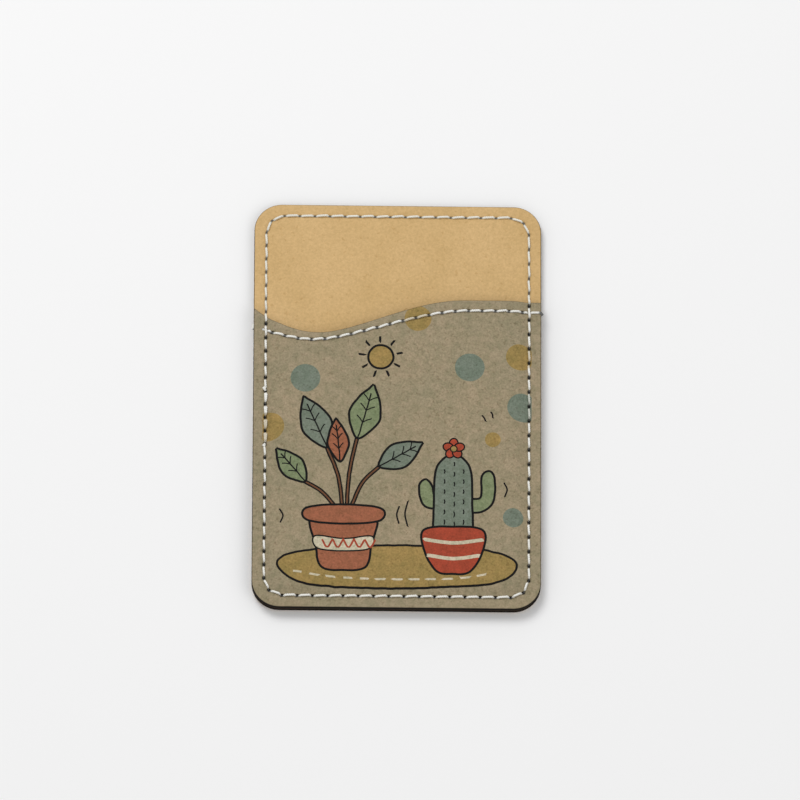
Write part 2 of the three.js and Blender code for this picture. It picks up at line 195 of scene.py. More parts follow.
class Track:
    """A line of points in the plane, measured along its length."""

    def __init__(self, points, closed=False):
        points = np.array(points, float)
        if closed:
            points = np.vstack([points, points[:1]])
        steps = np.hypot(*np.diff(points, axis=0).T)
        keep = np.concatenate([[True], steps > TINY])
        self.points = points[keep]
        self.marks = np.concatenate([[0], np.cumsum(np.hypot(*np.diff(self.points, axis=0).T))])
        self.length = self.marks[-1]
        self.closed = closed

    def point(self, along):
        along = np.asarray(along, float)
        if self.closed:
            along = np.mod(along, self.length)
        return np.stack([np.interp(along, self.marks, self.points[:, k]) for k in (0, 1)], axis=-1)

    def direction(self, along, step=0.15):
        along = np.asarray(along)
        return unit(self.point(along + step) - self.point(along - step))

    def along_at(self, x):
        return float(np.interp(x, self.points[:, 0], self.marks))

    def height_at(self, x):
        return np.interp(x, self.points[:, 0], self.points[:, 1])

    def resampled(self, step):
        count = max(2, round(self.length / step))
        return self.point(np.linspace(0, self.length, count + 1))


def bezier(points, count):
    """Points along a Bezier curve of any degree."""
    share = np.linspace(0, 1, count + 1)[:, None]
    layer = [np.tile(np.array(p, float), (count + 1, 1)) for p in points]
    while len(layer) > 1:
        layer = [a + (b - a) * share for a, b in zip(layer, layer[1:])]
    return layer[0]


def across_pocket(line):
    """A parabola down to the dip, an S up to the level stretch, then straight to the right edge."""
    def spot(drop, place):
        return np.array([place - HALF_WIDTH, HALF_HEIGHT - drop])
    dip = spot(*line["dip"])
    level = spot(*line["level"])
    start = spot(line["left"], 0)
    parabola = bezier([start, ((start[0] + dip[0]) / 2, dip[1]), dip], count=60)
    climb = bezier([dip, dip + (DIP_HANDLE, 0), level - (LEVEL_HANDLE, 0), level], count=120)
    end = spot(line["level"][0], 2 * HALF_WIDTH)
    return Track(np.vstack([parabola, climb[1:], end]))


def corner_arc(sign_x, sign_y, start, inset, radius, count=32):
    """One rounded corner, at an inset from the holder's edge, anticlockwise from a start angle."""
    half = np.array([HALF_WIDTH, HALF_HEIGHT]) - inset - radius
    angle = np.radians(start + np.linspace(0, 90, count + 1))
    return half * (sign_x, sign_y) + radius * np.stack([np.cos(angle), np.sin(angle)], axis=-1)


def rounded_outline(inset, radius):
    corners = [(-1, -1, 180), (1, -1, 270), (1, 1, 0), (-1, 1, 90)]
    return np.vstack([corner_arc(*corner, inset, radius) for corner in corners])


mouth_edge = across_pocket(MOUTH_EDGE)
mouth_seam = across_pocket(MOUTH_SEAM)
SEAM_X = HALF_WIDTH - SEAM_INSET
TURN_X = SEAM_X - SEAM_CORNER
TURN_Y = HALF_HEIGHT - SEAM_INSET - SEAM_CORNER
CORNER_RUN = math.pi / 2 * SEAM_CORNER

# The seam round the holder starts half way up the left side and runs down, anticlockwise
edge_seam = Track(np.vstack([[[-SEAM_X, 0]], rounded_outline(SEAM_INSET, SEAM_CORNER)]), closed=True)

# Distances along it at which each corner starts and ends
bottom_left = np.array([TURN_Y, TURN_Y + CORNER_RUN])
bottom_right = bottom_left + CORNER_RUN + 2 * TURN_X
top_right = bottom_right + CORNER_RUN + 2 * TURN_Y
top_left = top_right + CORNER_RUN + 2 * TURN_X


def along_left(y):
    return -y


def along_right(y):
    return bottom_right[1] + TURN_Y + y


def even_places(start, end, pitch):
    return np.linspace(start, end, max(1, round((end - start) / pitch)) + 1)


def holes_along(start, runs):
    """Holes from a start through the end of each run, every run divided into even stitches."""
    holes = [start]
    for end, pitch in runs:
        holes.extend(even_places(holes[-1], end, pitch)[1:])
    return np.array(holes)


pocket_from = along_left(mouth_edge.height_at(-SEAM_X))
pocket_to = along_right(mouth_edge.height_at(SEAM_X))
left_crossing = along_left(mouth_seam.height_at(-SEAM_X))
right_crossing = along_right(mouth_seam.height_at(SEAM_X))
CROSSING_REACH = CROSSING_STITCH / 2
pocket_stops = holes_along(left_crossing - CROSSING_REACH, [
    (left_crossing + CROSSING_REACH, CROSSING_STITCH),
    (bottom_left[0], LEFT_STITCH),
    (bottom_left[1], END_STITCH),
    (bottom_right[0], END_STITCH),
    (bottom_right[1], END_STITCH),
    (right_crossing - CROSSING_REACH, RIGHT_STITCH),
    (right_crossing + CROSSING_REACH, CROSSING_STITCH),
])
panel_stops = holes_along(right_crossing + CROSSING_REACH, [
    (top_right[0], RIGHT_STITCH),
    (top_right[1], END_STITCH),
    (top_left[0], END_STITCH),
    (top_left[1], END_STITCH),
    (left_crossing - CROSSING_REACH + edge_seam.length, LEFT_STITCH),
])[1:-1]
edge_stops = np.concatenate([pocket_stops, panel_stops])
first_hole = int(np.argmin(np.abs(edge_stops - along_left(FIRST_HOLE_HEIGHT))))
mouth_crossings = [mouth_seam.along_at(-SEAM_X), mouth_seam.along_at(SEAM_X)]
mouth_stops = even_places(
    mouth_crossings[0] + MOUTH_FIRST_HOLE, mouth_crossings[1] - MOUTH_FIRST_HOLE, MOUTH_STITCH
)


def pouch_rise(points):
    """How far the pocket stands off the panel at places inside its seam."""
    corner = SEAM_CORNER - POUCH_START
    across = np.abs(points[:, 0]) - TURN_X
    down = -TURN_Y - points[:, 1]
    outside = np.hypot(np.maximum(across, 0), np.maximum(down, 0))
    inward = np.maximum(corner - outside - np.minimum(np.maximum(across, down), 0), 0)
    run = inward / RISE_LENGTH
    return CARD_ROOM * (1 - (1 + run) * np.exp(-run))


# Distances in the plane

def distance_to_line(points, line, chunk=4000):
    """Distance from each point to an open line of points."""
    starts, ends = line[:-1], line[1:]
    ways = ends - starts
    squares = np.maximum((ways ** 2).sum(1), TINY)
    result = np.empty(len(points))
    for first in range(0, len(points), chunk):
        some = points[first:first + chunk]
        offset = some[:, None, :] - starts[None]
        share = np.clip((offset * ways).sum(2) / squares, 0, 1)
        gap = offset - share[..., None] * ways
        result[first:first + chunk] = np.sqrt((gap ** 2).sum(2).min(1))
    return result


def nearest(points, centres):
    """Distance from each point to the nearest of a few centres."""
    return np.linalg.norm(points[:, None, :] - centres[None], axis=2).min(1)


def inside(points, outline, chunk=4000):
    """Which points lie inside a closed outline."""
    starts = outline
    ends = np.roll(outline, -1, axis=0)
    result = np.zeros(len(points), bool)
    for first in range(0, len(points), chunk):
        x = points[first:first + chunk, 0][:, None]
        y = points[first:first + chunk, 1][:, None]
        straddles = (starts[:, 1] > y) != (ends[:, 1] > y)
        rise = np.where(ends[:, 1] == starts[:, 1], 1, ends[:, 1] - starts[:, 1])
        cross = starts[:, 0] + (y - starts[:, 1]) * (ends[:, 0] - starts[:, 0]) / rise
        result[first:first + chunk] = (straddles & (x < cross)).sum(1) % 2 == 1
    return result


def clear_of(points, holes):
    """Which points lie in none of the holes."""
    clear = np.ones(len(points), bool)
    for hole in holes:
        close = np.linalg.norm(points - hole.mean(0), axis=1) < HOLE_REACH
        clear[close] &= ~inside(points[close], hole)
    return clear


def closed_line(outline):
    return np.vstack([outline, outline[:1]])


def inward_offset(outline, inset):
    """A closed outline moved inwards; it turns anticlockwise."""
    return outline + inset * leftward(unit(np.roll(outline, -1, axis=0) - np.roll(outline, 1, axis=0)))


# Awl holes and the way the leather gives around them

HOLE_CORNERS = 14
HOLE_END = 0.7
HOLE_REACH = 1.8


def awl_holes(track, stops, grow=0.0, opened=1.0):
    """Outlines of holes with round ends that lie along their seam."""
    angle = np.linspace(0, 2 * math.pi, HOLE_CORNERS, endpoint=False)
    across = (opened * HOLE_WIDTH / 2 + grow) * np.sin(angle)[:, None]
    ahead = np.sign(np.cos(angle)) * np.abs(np.cos(angle)) ** HOLE_END
    ahead = (opened * HOLE_LENGTH / 2 + grow) * ahead[:, None]
    forward = track.direction(stops)
    places = zip(track.point(stops), forward, leftward(forward))
    return [centre + ahead * way + across * side for centre, way, side in places]


GROOVE_DEPTH = 0.04
GROOVE_WIDTH = 0.42
DIMPLE_DEPTH = 0.15
DIMPLE_WIDTH = 0.7
DIMPLE_REACH = 2.0
DENT_DEPTH = 0.3
SWELL_HEIGHT = 0.03
SWELL_X = 5.0
SWELL_Y = 8.0


def pucker(points, track, stops):
    """How far leather is pulled down round the holes and under the straight stitches between them."""
    centres = track.point(stops)
    near = distance_to_line(points, centres)
    pull = GROOVE_DEPTH * np.exp(-((near / GROOVE_WIDTH) ** 2))
    close = near < DIMPLE_REACH
    pull[close] += DIMPLE_DEPTH * np.exp(-((nearest(points[close], centres) / DIMPLE_WIDTH) ** 2))
    return pull


def swell(points):
    """Slow swells of the pocket's face, from two sines in crossing directions."""
    x, y = points.T
    return SWELL_HEIGHT * (np.sin(x / SWELL_X + y / SWELL_Y) + np.sin(y / SWELL_X - x / SWELL_Y))


# Meshes

GRID_ROW = 0.87
GRID_JITTER = 0.12
GRID_MARGIN = 0.6
SEAM_GRID_STEP = 0.36
SEAM_GRID_MARGIN = 0.34
EDGE_RINGS = (0.03, 0.08, 0.15, 0.24)
HOLE_RING = 0.09
HOLE_CLEARANCE = 0.16
OUTLINE_STEP = 0.32
ON_EDGE = 1e-4


def add_piece(name, points, faces, material, replaced, colours, cut=None):
    """A mesh in place of one solid, with a colour for each corner and how cut each point is; the cut value
    also darkens the leather as painted shade.
    """
    mesh = bpy.data.meshes.new(name)
    mesh.from_pydata((np.asarray(points) * MM).tolist(), [], [list(map(int, face)) for face in faces])
    mesh.polygons.foreach_set("use_smooth", [True] * len(mesh.polygons))
    # Corner colours: print and ground on the leather; on the threads also painted shade in their holes
    layer = mesh.color_attributes.new("ink_and_shade", "FLOAT_COLOR", "CORNER")
    layer.data.foreach_set("color", np.asarray(colours, np.float32).ravel())
    if cut is not None:
        layer = mesh.attributes.new("cut", "FLOAT", "POINT")
        layer.data.foreach_set("value", np.asarray(cut, np.float32))
    mesh.materials.append(material)
    mesh.update()
    piece = placed(name, mesh)
    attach(piece, "root")
    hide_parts(replaced)


def scatter(outline, step, margin, keep_off):
    """Points of a jittered grid inside an outline, clear of its edge and of the holes."""
    low, high = outline.min(0), outline.max(0)
    xs = np.arange(low[0], high[0], step)
    ys = np.arange(low[1], high[1], step * GRID_ROW)
    grid = np.array([(x + (row % 2) * step / 2, y) for row, y in enumerate(ys) for x in xs])
    grid += noise_rng.uniform(-GRID_JITTER, GRID_JITTER, grid.shape) * step
    grid = grid[inside(grid, outline)]
    grid = grid[distance_to_line(grid, closed_line(outline)) > margin]
    return grid[clear_of(grid, keep_off)]


def triangles_of(outline, holes, free, lines):
    """Triangles that fill an outline, keep out of its holes and follow the given lines."""
    coords = []
    edges = []

    def add_chain(points, closed):
        start = len(coords)
        coords.extend(Vector(p) for p in points)
        count = len(points)
        edges.extend((start + i, start + i + 1) for i in range(count - 1))
        if closed:
            edges.append((start + count - 1, start))

    add_chain(outline, True)
    for hole in holes:
        add_chain(hole, True)
    for line, closed in lines:
        add_chain(line, closed)
    coords.extend(Vector(p) for p in free)
    result = delaunay_2d_cdt(coords, edges, [], 0, 1e-5, False)
    points = np.array([tuple(p) for p in result[0]])
    faces = np.array(result[2])
    centres = points[faces].mean(1)
    faces = faces[inside(centres, outline) & clear_of(centres, holes)]
    a, b, c = (points[faces[:, k]] for k in range(3))
    turn = (b[:, 0] - a[:, 0]) * (c[:, 1] - a[:, 1]) - (b[:, 1] - a[:, 1]) * (c[:, 0] - a[:, 0])
    faces[turn < 0] = faces[turn < 0][:, ::-1]
    faces = faces[np.abs(turn) > TINY]
    used = np.unique(faces)
    renumber = np.full(len(points), -1)
    renumber[used] = np.arange(len(used))
    return points[used], renumber[faces]


def rim_loops(faces):
    """Directed edges that only one triangle has, chained into loops."""
    pairs = np.vstack([faces[:, [0, 1]], faces[:, [1, 2]], faces[:, [2, 0]]])
    known = set(map(tuple, pairs.tolist()))
    follow = {a: b for a, b in known if (b, a) not in known}
    loops = []
    while follow:
        start, step = follow.popitem()
        loop = [start]
        while step != start:
            loop.append(step)
            step = follow.pop(step)
        loops.append(loop)
    return loops


WALL_ROWS = (0.16, 0.38, 0.62, 0.84)
WALL_ROUGHNESS = 0.012
WALL_RIPPLE = 0.02
RIPPLE_TURN = 9
EDGE_BURN = (0.02, 0.17)
# Round the holes the dark band is burnt leather and painted shade
HOLE_BURN_AND_SHADE = (0.02, 0.14)


def cut_sheet(name, outline, holes, free, top, bottom, material, replaced, ground, design):
    """A sheet of leather as a closed mesh: two faces, rough cut walls round its edge and plain walls round
    its holes.
    """
    flat, faces = triangles_of(outline, holes, free, design.guides())
    edge_gap = distance_to_line(flat, closed_line(outline))
    hole_gap = np.full(len(flat), HOLE_REACH)
    for hole in holes:
        close = np.linalg.norm(flat - hole.mean(0), axis=1) < HOLE_REACH
        hole_gap[close] = np.minimum(hole_gap[close], distance_to_line(flat[close], closed_line(hole)))
    rounding = np.zeros(len(flat))
    for gap, radius in ((edge_gap, EDGE_ROUND), (hole_gap, HOLE_ROUND)):
        lean = np.clip(radius - gap, 0, radius)
        rounding = np.maximum(rounding, radius - np.sqrt(radius ** 2 - lean ** 2))
    upper = np.column_stack([flat, top(flat) - rounding])
    lower = np.column_stack([flat, bottom(flat) + rounding])
    count = len(flat)
    points = [upper, lower]
    # Dark band at the cut edge and round the holes: burnt leather, with painted shade on the edge walls
    # and in the holes
    burn_and_shade = np.maximum(1 - smooth(edge_gap, *EDGE_BURN), 1 - smooth(hole_gap, *HOLE_BURN_AND_SHADE))
    cut = [burn_and_shade, burn_and_shade]
    all_faces = [faces, faces[:, ::-1] + count]
    top_colours = design.colours(flat[faces].mean(1), ground)
    walls = []
    offset = 2 * count
    for loop in rim_loops(faces):
        loop = np.array(loop)
        rows = [loop]
        if edge_gap[loop].max() < ON_EDGE:
            for share in WALL_ROWS:
                rough = noise_rng.normal(0, WALL_ROUGHNESS, len(loop))
                rough += WALL_RIPPLE * math.sin(share * RIPPLE_TURN)
                height = upper[loop, 2] + (lower[loop, 2] - upper[loop, 2]) * share
                points.append(np.column_stack([inward_offset(flat[loop], -rough[:, None]), height]))
                # The edge walls take the full dark colour, part of it painted shade
                cut.append(np.ones(len(loop)))
                rows.append(np.arange(offset, offset + len(loop)))
                offset += len(loop)
        rows.append(loop + count)
        for above, below in zip(rows, rows[1:]):
            ahead = np.roll(above, -1)
            under = np.roll(below, -1)
            walls.append(np.column_stack([above, below, under]))
            walls.append(np.column_stack([above, under, ahead]))
    walls = np.vstack(walls)
    points = np.vstack(points)
    corner_colours = np.vstack([
        np.repeat(top_colours, 3, axis=0),
        np.tile(opaque(ground), (3 * (len(faces) + len(walls)), 1)),
    ])
    add_piece(
        name, points, np.vstack(all_faces + [walls]), material, replaced,
        corner_colours, np.concatenate(cut),
    )


# The printed design: a generic drawing of potted plants with loose dots

def drawn(points, closed=False, step=0.45, wobble=0.07):
    """A hand-drawn curve through points: a Catmull-Rom curve with a slight wobble."""
    points = np.array(points, float)
    if closed:
        control = np.vstack([points[-1:], points, points[:2]])
    else:
        control = np.vstack([2 * points[0] - points[1], points, 2 * points[-1] - points[-2]])
    pieces = []
    for span in range(len(control) - 3):
        p0, p1, p2, p3 = control[span:span + 4]
        t = np.linspace(0, 1, 12, endpoint=False)[:, None]
        pieces.append(0.5 * (2 * p1 + (p2 - p0) * t + (2 * p0 - 5 * p1 + 4 * p2 - p3) * t ** 2
                             + (3 * p1 - 3 * p2 + p3 - p0) * t ** 3))
    curve = np.vstack(pieces + ([] if closed else [points[-1:]]))
    curve = Track(curve, closed).resampled(step)
    if closed:
        curve = curve[:-1]
    shake = noise_rng.normal(0, wobble, curve.shape)
    for _ in range(2):
        shake = (np.roll(shake, 1, axis=0) + 2 * shake + np.roll(shake, -1, axis=0)) / 4
    return curve + shake


def ellipse(centre, across, upward, turn=0.0, count=16):
    angle = np.linspace(0, 2 * math.pi, count, endpoint=False)
    x = across * np.cos(angle)
    y = upward * np.sin(angle)
    c, s = math.cos(math.radians(turn)), math.sin(math.radians(turn))
    return np.column_stack([centre[0] + c * x - s * y, centre[1] + s * x + c * y])


def leaf(base, tip, width):
    """Outline of a pointed leaf from its base to its tip."""
    base, tip = np.array(base, float), np.array(tip, float)
    way = tip - base
    side = leftward(unit(way)) * width / 2
    shares = [(0.0, 0.0), (0.18, 0.62), (0.42, 1.0), (0.7, 0.72), (0.92, 0.2), (1.0, 0.0)]
    right = [base + way * along + side * out for along, out in shares]
    left = [base + way * along - side * out for along, out in shares[-2:0:-1]]
    return np.array(right + left)


LINE = 0.5


class Design:
    """Shapes in the order in which they are printed, each a filled outline or a stroke."""

    def __init__(self):
        self.layers = []

    def fill(self, outline, colour, line=0):
        self.layers.append(("fill", outline, colour, 0))
        if line:
            self.stroke(closed_line(outline), width=line)

    def shape(self, points, colour, wobble=0.04, line=LINE):
        self.fill(drawn(points, True, wobble=wobble), colour, line)

    def stroke(self, line, colour=INK_BLACK, width=LINE):
        self.layers.append(("stroke", line, colour, width))

    def guides(self):
        """Lines that the triangles follow, so that each shape has a crisp edge."""
        result = []
        for kind, line, _, width in self.layers:
            if kind == "fill":
                result.append((line, True))
                continue
            side = leftward(unit(np.gradient(line, axis=0))) * width / 2
            result.append((line + side, False))
            result.append((line - side, False))
        return result

    def colours(self, points, ground):
        """Linear colour with alpha at each point."""
        result = np.tile(opaque(ground), (len(points), 1))
        for kind, line, colour, width in self.layers:
            low, high = line.min(0) - 1, line.max(0) + 1
            close = np.all((points > low) & (points < high), axis=1)
            some = points[close]
            if kind == "fill":
                hit = inside(some, line)
            else:
                hit = distance_to_line(some, line) < width / 2
            where = np.flatnonzero(close)[hit]
            result[where, :3] = linear(colour)
        return result


PRINT_HALF = 28.95


def draw_dots(design):
    dots = [
        (-19.8, 5.6, 3.2, INK_TEAL), (15.6, 8.4, 3.2, INK_TEAL), (27.0, -0.6, 3.3, INK_TEAL),
        (25.0, -26.0, 2.2, INK_TEAL), (4.4, 19.6, 2.9, INK_MUSTARD), (26.4, 11.0, 3.0, INK_MUSTARD),
        (20.6, -8.2, 1.7, INK_MUSTARD), (-27.6, -5.5, 3.3, INK_MUSTARD),
    ]
    for x, y, radius, colour in dots:
        ring = ellipse((x, y), radius, radius, count=14)
        outline = drawn(ring, True, wobble=0.03)
        outline[:, 0] = np.clip(outline[:, 0], -PRINT_HALF, PRINT_HALF)
        design.fill(outline, colour)


def draw_rug(design):
    rug = [(-25.6, -37.2), (-22, -34.4), (-10, -33.0), (4, -32.6), (17, -33.2), (24.4, -35.2),
           (25.6, -38.0), (21, -40.9), (8, -42.0), (-8, -42.2), (-20.4, -41.2)]
    design.shape(rug, INK_MUSTARD, 0.07)
    inner = [(-22.6, -38.6), (-12, -40.0), (2, -40.3), (14, -39.9), (22.2, -38.3)]
    line = drawn(inner, wobble=0.04)
    for start in range(1, len(line) - 5, 8):
        design.stroke(line[start:start + 5], INK_CREAM, 0.45)


def draw_big_plant(design):
    stems = [
        [(-11.6, -25), (-12.6, -17), (-15.4, -9.5)],
        [(-10.8, -25), (-10.2, -16), (-8.4, -7.2)],
        [(-10.2, -25), (-7.4, -18.4), (-3.2, -14.0)],
        [(-12.4, -25), (-16.0, -20.6), (-20.4, -17.8)],
    ]
    leaves = [
        ((-15.0, -10.4), (-20.2, 1.4), 6.6, INK_TEAL),
        ((-8.5, -8.2), (-5.0, 4.2), 6.8, INK_LEAF),
        ((-3.9, -14.6), (5.6, -9.0), 5.8, INK_TEAL),
        ((-19.6, -18.2), (-26.0, -10.6), 5.2, INK_LEAF),
        ((-12.2, -13.6), (-13.2, -3.6), 4.6, INK_TERRACOTTA),
    ]
    for stem in stems:
        design.stroke(drawn(stem, wobble=0.04), width=1.0)
        design.stroke(drawn(stem, wobble=0.0), INK_BROWN, 0.34)
    for base, tip, width, colour in leaves:
        design.shape(leaf(base, tip, width), colour, 0.05)
        base, tip = np.array(base), np.array(tip)
        vein = [base + (tip - base) * share for share in (0.02, 0.4, 0.84)]
        design.stroke(drawn(vein, wobble=0.05), width=0.32)
        for share in (0.3, 0.52, 0.7):
            start = base + (tip - base) * share
            way = unit(tip - base)
            for side in (1, -1):
                end = start + way * 1.3 + side * leftward(way) * width * 0.24
                design.stroke(np.array([start, (start + end) / 2 + way * 0.12, end]), width=0.26)


def draw_big_pot(design):
    body = [(-18.4, -26.4), (-17.4, -32.6), (-16.2, -37.6), (-11.4, -38.4), (-6.6, -37.6),
            (-5.4, -32.6), (-4.4, -26.4), (-11.4, -25.8)]
    design.shape(body, INK_TERRACOTTA)
    band = [(-17.5, -30.6), (-17.0, -33.4), (-11.4, -34.0), (-5.8, -33.4), (-5.3, -30.6), (-11.4, -31.2)]
    design.shape(band, INK_CREAM, 0.03, 0.34)
    for place in range(5):
        x = -16.0 + 2.3 * place
        design.stroke(drawn([(x, -31.4), (x + 1.1, -33.2), (x + 2.2, -31.5)], wobble=0.03), INK_RED, 0.42)
    rim = [(-19.4, -24.2), (-19.2, -27.0), (-11.4, -27.8), (-3.6, -27.0), (-3.4, -24.2), (-11.4, -23.4)]
    design.shape(rim, INK_TERRACOTTA, 0.03)


def draw_cactus(design):
    arm_left = [(8.6, -24.0), (5.6, -23.2), (4.8, -19.0), (6.2, -17.4), (7.6, -19.0), (8.0, -21.0),
                (9.6, -21.6)]
    arm_right = [(15.4, -22.0), (18.0, -21.4), (18.2, -16.8), (19.7, -15.4), (21.0, -17.0), (20.8, -22.2),
                 (18.6, -24.6), (15.4, -24.8)]
    design.shape(arm_left, INK_LEAF)
    design.shape(arm_right, INK_LEAF)
    trunk = [(8.6, -31), (8.0, -22), (8.6, -14.6), (12.2, -11.6), (15.6, -14.6), (16.2, -22), (15.6, -31)]
    design.shape(trunk, INK_TEAL)
    for x, low, high in ((10.2, -27.6, -15.4), (12.3, -28.2, -14.2), (14.3, -27.6, -15.4)):
        for y in np.arange(low, high, 2.3):
            design.stroke(np.array([(x, y), (x + 0.12, y + 0.5), (x, y + 1.0)]), width=0.3)
    for turn in range(5):
        angle = math.radians(90 + 72 * turn)
        centre = (12.2 + 1.25 * math.cos(angle), -10.4 + 1.25 * math.sin(angle))
        design.shape(ellipse(centre, 1.15, 0.95, 90 + 72 * turn, 10), INK_RED, 0.02, 0.32)
    design.shape(ellipse((12.2, -10.4), 0.75, 0.75, count=8), INK_MUSTARD, 0.01, 0.28)


def draw_small_pot(design):
    pot = [(5.8, -29.0), (6.0, -34.0), (8.6, -38.4), (12.2, -39.0), (15.8, -38.4), (18.4, -34.0),
           (18.6, -29.0), (12.2, -28.2)]
    design.shape(pot, INK_RED)
    for left, right, y in ((6.2, 18.2, -31.2), (6.9, 17.5, -34.8)):
        band = [(left, y), ((left + right) / 2, y - 0.7), (right, y)]
        design.stroke(drawn(band, wobble=0.03), INK_CREAM, 0.8)


def draw_sun(design):
    centre = np.array([-3.6, 10.6])
    design.shape(ellipse(centre, 2.7, 2.7), INK_MUSTARD)
    for turn in range(9):
        angle = math.radians(40 * turn + 12)
        way = np.array([math.cos(angle), math.sin(angle)])
        design.stroke(drawn([centre + way * 3.6, centre + way * 4.1, centre + way * 4.7], wobble=0.03))


def draw_marks(design):
    marks = [
        [(18.2, -2.6), (18.7, -3.2), (19.0, -3.9)],
        [(20.2, -1.8), (20.5, -2.4), (20.6, -3.2)],
        [(0.6, -23.6), (0.0, -25.6), (0.5, -27.6)],
        [(2.4, -22.6), (1.8, -25.4), (2.3, -28.2)],
        [(-25.2, -24.4), (-24.4, -26.0), (-25.0, -27.6)],
        [(23.0, -18.0), (23.7, -19.6), (23.2, -21.2)],
    ]
    for mark in marks:
        design.stroke(drawn(mark, step=0.4, wobble=0.03), width=0.36)


def make_design():
    design = Design()
    for draw in (draw_dots, draw_rug, draw_big_plant, draw_big_pot, draw_cactus, draw_small_pot,
                 draw_sun, draw_marks):
        draw(design)
    return design


# Materials

class Recipe:
    """A material, with short calls for the patterns that are used."""

    def __init__(self, name):
        self.material = bpy.data.materials.new(name)
        self.material.use_nodes = True
        self.tree = self.material.node_tree
        self.shader = self.tree.nodes["Principled BSDF"]
        self.place = self.add("ShaderNodeTexCoord").outputs["Object"]

    def add(self, kind, **settings):
        node = self.tree.nodes.new(kind)
        for key, value in settings.items():
            setattr(node, key, value)
        return node

    def feed(self, socket, value):
        if isinstance(value, bpy.types.NodeSocket):
            self.tree.links.new(value, socket)
            return
        socket.default_value = (*value, 1.0) if socket.type == "RGBA" else value

    def noise(self, size, detail=3.0, roughness=0.55, distortion=0.0, offset=0.0):
        """Noise whose lumps are about size millimetres across, from 0 to 1."""
        node = self.add("ShaderNodeTexNoise")
        place = self.place
        if offset:
            shift = self.add("ShaderNodeVectorMath", operation="ADD")
            self.feed(shift.inputs[0], place)
            shift.inputs[1].default_value = (offset, offset * 0.7, offset * 1.3)
            place = shift.outputs[0]
        self.feed(node.inputs["Vector"], place)
        node.inputs["Scale"].default_value = 1 / (size * MM)
        node.inputs["Detail"].default_value = detail
        node.inputs["Roughness"].default_value = roughness
        node.inputs["Distortion"].default_value = distortion
        return node.outputs["Fac"]

    def math(self, operation, first, second=0.0, third=0.0):
        node = self.add("ShaderNodeMath", operation=operation)
        for socket, value in zip(node.inputs, (first, second, third)):
            self.feed(socket, value)
        return node.outputs[0]

    def spread(self, value, low, high, out_low=0.0, out_high=1.0):
        """A value rescaled from one range to another, and held to it."""
        node = self.add("ShaderNodeMapRange")
        for socket, number in zip(node.inputs, (value, low, high, out_low, out_high)):
            self.feed(socket, number)
        return node.outputs[0]

    def mix(self, share, first, second, blend="MIX"):
        node = self.add("ShaderNodeMix", data_type="RGBA", blend_type=blend)
        self.feed(node.inputs[0], share)
        self.feed(node.inputs[6], first)
        self.feed(node.inputs[7], second)
        return node.outputs[2]

    def tint(self, colour, *layers):
        """A colour multiplied by one tint where each layer's value is low, and by another where high."""
        for value, low, high, darker, lighter in layers:
            tone = self.mix(self.spread(value, low, high), darker, lighter)
            colour = self.mix(1.0, colour, tone, "MULTIPLY")
        return colour

    def cut_edge_and_shade(self, colour, darkest, lightest):
        """A colour that gives way to dark fibres where the leather is cut; the dark is partly painted
        shade under the edge and in the holes.
        """
        fibre = self.spread(self.noise(0.25, 2, 0.5, offset=0.3), 0.3, 0.7)
        dark = self.mix(fibre, linear(CUT_EDGE_AND_SHADE) * darkest, linear(CUT_EDGE_AND_SHADE) * lightest)
        return self.mix(self.attribute("cut"), colour, dark)

    def dull_cut(self, share):
        """A shine that fades to almost none where the leather is cut."""
        return self.spread(self.attribute("cut"), 0.0, 1.0, share, 0.02)

    def attribute(self, name, kind="Fac"):
        node = self.add("ShaderNodeAttribute", attribute_name=name)
        return node.outputs[kind]

    def bump(self, height, distance, strength):
        node = self.add("ShaderNodeBump")
        node.inputs["Strength"].default_value = strength
        node.inputs["Distance"].default_value = distance * MM
        self.feed(node.inputs["Height"], height)
        return node.outputs["Normal"]

    def finish(self, **sockets):
        for name, value in sockets.items():
            self.feed(self.shader.inputs[name.replace("_", " ")], value)
        return self.material


def suede_leather():
    """Printed suede-like leather: mottled nap, a cloudy tone and a dark cut edge, partly painted shade."""
    recipe = Recipe("printed_leather")
    mottle = recipe.noise(1.5, 4, 0.65, 0.6)
    nap = recipe.noise(0.42, 3, 0.7)
    cloud = recipe.noise(9, 3, 0.6)
    speck = recipe.noise(0.75, 2, 0.6, 0.4, 0.5)
    colour = recipe.tint(
        recipe.attribute("ink_and_shade", "Color"),
        (cloud, 0.35, 0.68, (0.94, 0.965, 0.955), (1.06, 1.035, 1.03)),
        (mottle, 0.36, 0.64, (0.87, 0.90, 0.86), (1.13, 1.10, 1.12)),
        (nap, 0.3, 0.7, (0.80, 0.80, 0.79), (1.20, 1.20, 1.21)),
        (speck, 0.32, 0.42, (0.80, 0.78, 0.74), (1.02, 1.02, 1.02)),
    )
    colour = recipe.cut_edge_and_shade(colour, 0.5, 1.9)
    height = recipe.math("ADD", recipe.math("MULTIPLY", nap, 0.6), recipe.math("MULTIPLY", mottle, 0.5))
    normal = recipe.bump(height, 0.08, 0.55)
    return recipe.finish(
        Base_Color=colour, Roughness=recipe.spread(nap, 0.2, 0.8, 0.82, 0.95), Normal=normal,
        Specular_IOR_Level=recipe.dull_cut(0.25), Sheen_Weight=recipe.dull_cut(0.12), Sheen_Roughness=0.5,
    )


